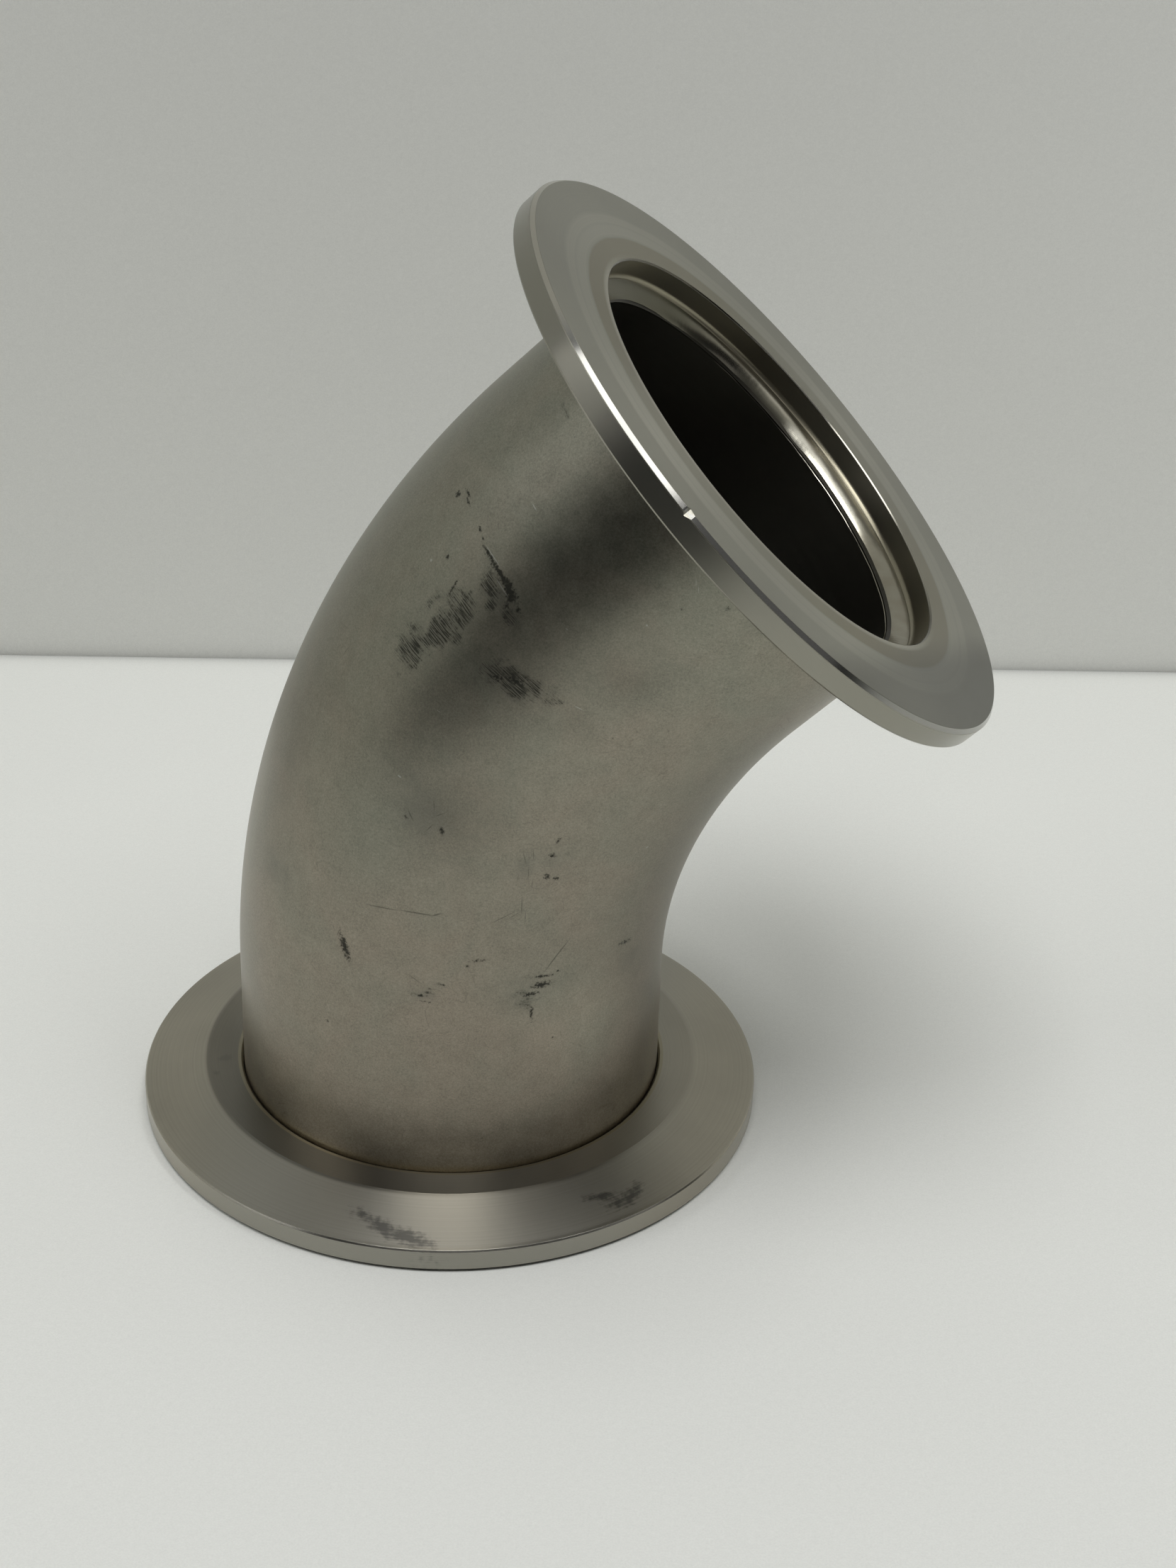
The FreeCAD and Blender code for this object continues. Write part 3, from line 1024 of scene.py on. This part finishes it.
# %% Floor and walls
def sheet(name, width, depth, material, matrix):
    """A flat rectangle, from the middle of its near edge back, placed by a matrix."""
    half = width / 2
    mesh = bpy.data.meshes.new(name)
    corners = [(-half, 0, 0), (half, 0, 0), (half, depth, 0), (-half, depth, 0)]
    mesh.from_pydata(corners, [], [(0, 1, 2, 3)])
    mesh.transform(matrix)
    mesh.materials.append(material)
    made = bpy.data.objects.new(name, mesh)
    bpy.context.scene.collection.objects.link(made)
    return made


def paper(name, color, one_sided=False):
    """Matt pale paper with a faint grain and painted shade in the fold; one-sided paper also gets painted
    light upwards and sideways and is clear from behind.
    """
    graph, material = material_graph(name)
    place = graph.node("ShaderNodeTexCoord", None, None, "Object")
    sockets = {"Vector": place, "Location": (0, wall_y, 0), "Rotation": (0, 0, wall_angle)}
    from_wall = graph.node("ShaderNodeMapping", {"vector_type": "TEXTURE"}, sockets)
    from_fold = graph.vector("LENGTH", graph.vector("MULTIPLY", from_wall, (0, 1, 1)), output="Value")
    # Painted shade in the fold between floor and wall.
    fold_shade = (from_fold * -1.0 / fold_reach).maths("EXPONENT") * (0.24 if one_sided else 0.36)
    grain = (graph.noise(place, 1400.0, 3.0) - 0.5) * 0.06 + (graph.noise(place, 4500.0, 1.0) - 0.5) * 0.14
    tone = 1 - fold_shade + grain
    if one_sided:
        # Painted light: the wall gets lighter upwards and to the right.
        lit_upwards = graph.part(place, "Z").least(0.12)
        sideways = graph.part(place, "X").most(-0.12).least(0.12)
        tone = tone + lit_upwards * 0.75 + sideways * 0.4 - 0.018
    sockets = {"Base Color": graph.scaled(color, tone), "Roughness": 1.0, "Specular IOR Level": 0.0}
    surface = graph.node("ShaderNodeBsdfPrincipled", None, sockets)
    if one_sided:
        clear = graph.node("ShaderNodeBsdfTransparent")
        behind = graph.node("ShaderNodeNewGeometry", None, None, "Backfacing")
        surface = graph.node("ShaderNodeMixShader", None, {0: behind, 1: surface, 2: clear})
    graph.node("ShaderNodeOutputMaterial", None, {"Surface": surface})
    return material


wall_y = 0.119
wall_angle = math.radians(6.8)
fold_reach = 0.0012
floor_paper = paper("floor_paper", (0.815, 0.825, 0.79))
wall_paper = paper("wall_paper", (0.84, 0.845, 0.81), one_sided=True)
upright = Matrix.Rotation(math.pi / 2, 4, "X")
wall_stand = Matrix.Translation((0, wall_y, 0)) @ Matrix.Rotation(wall_angle, 4, "Z") @ upright
side_stand = Matrix.Translation((-0.38, -0.09, 0)) @ Matrix.Rotation(math.radians(90), 4, "Z") @ upright
floor = sheet("floor", 6.0, 3.33, floor_paper, Matrix.Translation((0, -0.33, -0.02 * MM)))
wall = sheet("wall", 2.0, 0.7, wall_paper, wall_stand)
side = sheet("side_wall", 0.36, 0.26, wall_paper, side_stand)
print("staging", floor.name, wall.name, side.name)

# %% [markdown]
# ## Light
# The room has six long soft lamps. One runs over the elbow from the back left to the front right and
# draws the bright lines on the chamfers. One hangs straight above, one hangs in front, and one shines in
# from the left and pushes the shadow to the right. Two weak ones fill in from the right, the weaker one
# low. The front of the room is dark, which is what the dark streak down the bend shows. Past the walls
# the camera sees a plain pale backdrop, but the metal doesn't, so the room stays dark for it.

# %% Lamps and world
lamp_distance = 1.6
light_aim = Vector((0.02, 0, 0.05))


def lamp(name, lean_x, lean_y, long_side, short_side, turn, watts):
    """A soft rectangle seen from the elbow at a lean from straight up, its long side turned from X."""
    away = Vector((lean_x, lean_y, 1)).normalized()
    long_axis = Vector((math.cos(math.radians(turn)), math.sin(math.radians(turn)), 0))
    long_axis = (long_axis - away * away.dot(long_axis)).normalized()
    basis = Matrix((long_axis, away.cross(long_axis), away)).transposed()
    light = bpy.data.lights.new(name, "AREA")
    light.shape = "RECTANGLE"
    light.size = long_side
    light.size_y = short_side
    light.energy = watts
    made = bpy.data.objects.new(name, light)
    made.matrix_world = Matrix.Translation(light_aim + away * lamp_distance) @ basis.to_4x4()
    bpy.context.scene.collection.objects.link(made)
    return made


# (name, lean in X and in Y, long and short side in metres, turn of the long side in degrees, watts)
lamp_rows = [
    ("overhead", 0.385, -0.035, 1.07, 0.30, -46, 5.2),
    ("zenith", -0.03, -0.20, 0.90, 0.40, 0, 4.3),
    ("front", 0.0, -0.45, 0.90, 0.40, 0, 6.5),
    ("left", -1.08, -0.40, 0.90, 0.45, -72, 3.4),
    ("right", 0.95, 0.10, 0.90, 0.60, 0, 1.5),
    ("low", 1.90, -0.59, 1.40, 0.60, -17, 0.46),
]
lamps = [lamp(*row) for row in lamp_rows]
print("lamps", len(lamps), "with", round(sum(made.data.energy for made in lamps), 2), "watts")

world = bpy.data.worlds.new("room")
bpy.context.scene.world = world
world.use_nodes = True
world.node_tree.nodes.clear()
room = Graph(world.node_tree)
room_dark = (0.01, 0.01, 0.01, 1)
backdrop_grey = (0.42, 0.43, 0.41, 1)
seen_straight = room.node("ShaderNodeLightPath", None, None, "Is Camera Ray")
backdrop = room.mix(seen_straight, room_dark, backdrop_grey)
room_light = room.node("ShaderNodeBackground", None, {"Color": backdrop, "Strength": 1.0})
room.node("ShaderNodeOutputWorld", None, {"Surface": room_light})

# %% [markdown]
# ## Camera
# The camera's place, aim, tilt and lens were worked out from the edges of the flanges, whose real sizes
# are known. It is a plain perspective camera with no shift and no depth of field.

# %% Camera
camera_place = Vector((37.76, -274.22, 193.52)) * MM
camera_aim = Vector((16.15, -3.44, 45.13)) * MM
camera_roll = math.radians(1.834)
image_height = 2212
focal_pixels = 3800.6
film_height = 36.0

camera_data = bpy.data.cameras.new("camera")
camera_data.sensor_width = film_height
camera_data.lens = focal_pixels / image_height * film_height
camera_data.clip_start = 0.01
camera = bpy.data.objects.new("camera", camera_data)
camera.location = camera_place
camera.rotation_euler = (camera_aim - camera_place).to_track_quat("-Z", "Y").to_euler()
camera.rotation_euler.rotate_axis("Z", camera_roll)
bpy.context.scene.collection.objects.link(camera)
bpy.context.scene.camera = camera
bpy.context.scene.view_settings.view_transform = "Standard"
print("lens", round(camera_data.lens, 2), "mm on", film_height, "mm")
